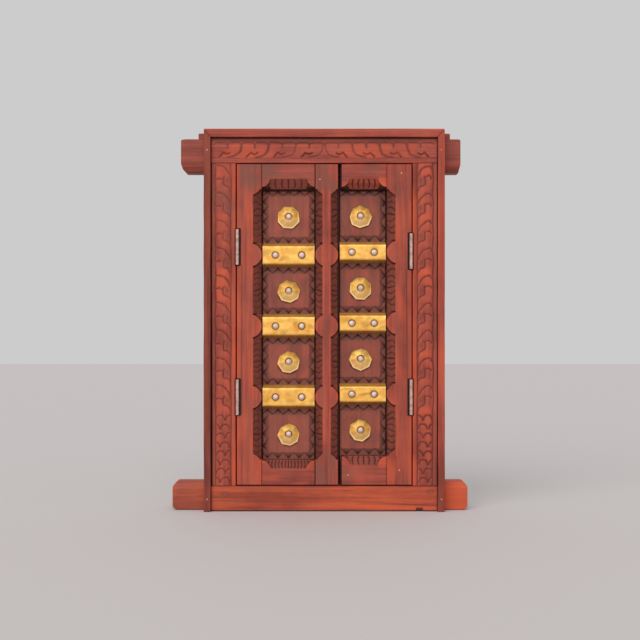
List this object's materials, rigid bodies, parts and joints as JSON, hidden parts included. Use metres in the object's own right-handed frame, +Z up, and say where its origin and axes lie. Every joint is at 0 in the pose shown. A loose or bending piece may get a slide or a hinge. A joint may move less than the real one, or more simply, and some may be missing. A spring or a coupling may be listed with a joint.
{
  "type": "decorative window",
  "caption": "Carved wooden window with a horned frame, edging battens and a pair of outward-opening leaves dressed with brass straps, rosettes and dome nails.",
  "frame": {"origin": "centre of the sill's underside, at mid depth", "axes": "+Z up, +Y from the carved front to the back, +X to the right seen from the front"},
  "size_m": [0.42, 0.054, 0.54],
  "materials": {
    "frame_wood": "red-brown stained, satin",
    "board_wood": "darker red-brown stained, matte",
    "brass": "aged sheet",
    "hinge_steel": "plated, worn",
    "nail_steel": "plated, bright"
  },
  "bodies": {
    "frame": {"lintel": "frame_wood", "sill": "frame_wood", "left_jamb": "frame_wood", "right_jamb": "frame_wood", "left_batten": "frame_wood", "right_batten": "frame_wood", "top_batten": "frame_wood", "batten_nails": "hinge_steel", "left_upper_frame_flap": "hinge_steel", "left_lower_frame_flap": "hinge_steel", "right_upper_frame_flap": "hinge_steel", "right_lower_frame_flap": "hinge_steel", "left_upper_pin": "hinge_steel", "left_lower_pin": "hinge_steel", "right_upper_pin": "hinge_steel", "right_lower_pin": "hinge_steel", "frame_hinge_screws": "hinge_steel"},
    "left_leaf": {"left_backboard": "board_wood", "left_hinge_stile": "frame_wood", "left_meeting_stile": "frame_wood", "left_top_rail": "frame_wood", "left_bottom_rail": "frame_wood", "left_bar_1": "frame_wood", "left_bar_2": "frame_wood", "left_bar_3": "frame_wood", "left_strap_1": "brass", "left_strap_2": "brass", "left_strap_3": "brass", "left_rosette_1": "brass", "left_rosette_2": "brass", "left_rosette_3": "brass", "left_rosette_4": "brass", "left_strap_nails": "nail_steel", "left_rosette_nails": "nail_steel", "left_upper_leaf_flap": "hinge_steel", "left_lower_leaf_flap": "hinge_steel", "left_hinge_screws": "hinge_steel", "left_brads": "hinge_steel"},
    "right_leaf": {"right_backboard": "board_wood", "right_hinge_stile": "frame_wood", "right_top_rail": "frame_wood", "right_bottom_rail": "frame_wood", "right_bar_1": "frame_wood", "right_bar_2": "frame_wood", "right_bar_3": "frame_wood", "right_strap_1": "brass", "right_strap_2": "brass", "right_strap_3": "brass", "right_rosette_1": "brass", "right_rosette_2": "brass", "right_rosette_3": "brass", "right_rosette_4": "brass", "right_strap_nails": "nail_steel", "right_rosette_nails": "nail_steel", "right_upper_leaf_flap": "hinge_steel", "right_lower_leaf_flap": "hinge_steel", "right_hinge_screws": "hinge_steel", "right_brads": "hinge_steel"}
  },
  "joints": [
    {"name": "left_leaf_swing", "type": "hinge", "parent": "frame", "child": "left_leaf", "pos_m": [-0.11669, -0.0222, 0.1615], "axis": [0, 0, -1], "range_deg": [0, 165]},
    {"name": "right_leaf_swing", "type": "hinge", "parent": "frame", "child": "right_leaf", "pos_m": [0.12869, -0.0222, 0.1615], "axis": [0, 0, 1], "range_deg": [0, 165]}
  ]
}
